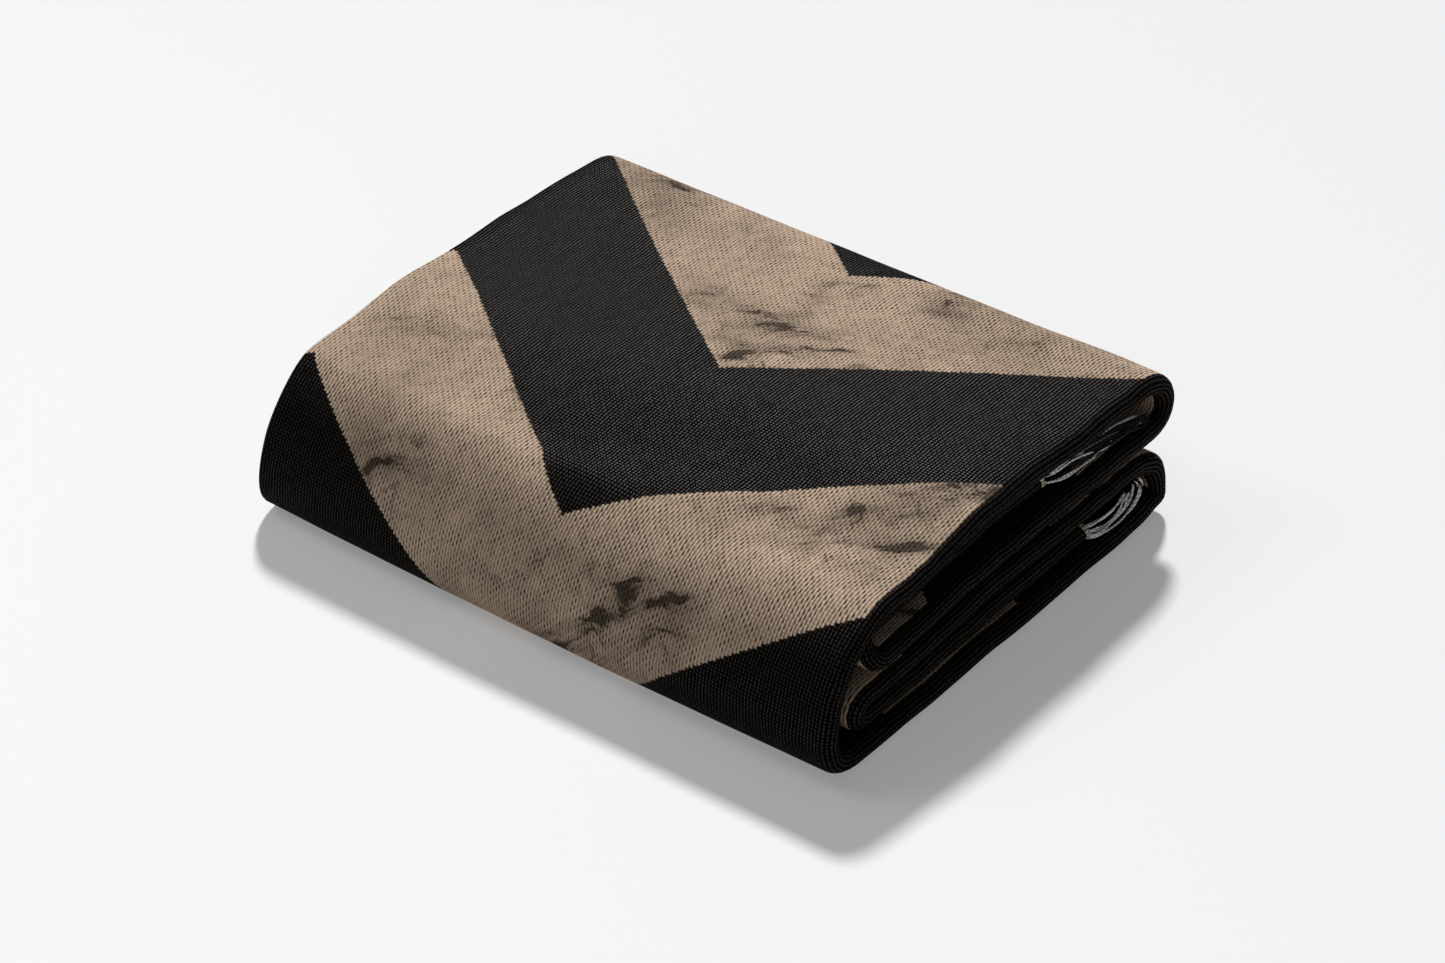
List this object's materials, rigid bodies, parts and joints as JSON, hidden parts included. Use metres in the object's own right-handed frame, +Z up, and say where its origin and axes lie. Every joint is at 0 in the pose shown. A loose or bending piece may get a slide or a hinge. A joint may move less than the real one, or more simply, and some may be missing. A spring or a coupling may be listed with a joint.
{
  "type": "folded blanket",
  "caption": "Folded woven cotton throw in black and warm tan, doubled across its width and folded back and forth to a low pad with a round spine, its fringed ends tucked inside",
  "frame": {"origin": "middle of the underside of the folded throw's box, on the surface that it rests on", "axes": "+X along the folds towards the side where the layers show, +Y from the closed spine to the open folds, +Z up"},
  "size_m": [0.3224, 0.2584, 0.0772],
  "materials": {
    "woven_cotton": "matte",
    "fringe_yarn": "matte"
  },
  "bodies": {
    "root": {"cloth": "woven_cotton", "fringe_upper": "fringe_yarn", "fringe_lower": "fringe_yarn"}
  },
  "joints": []
}
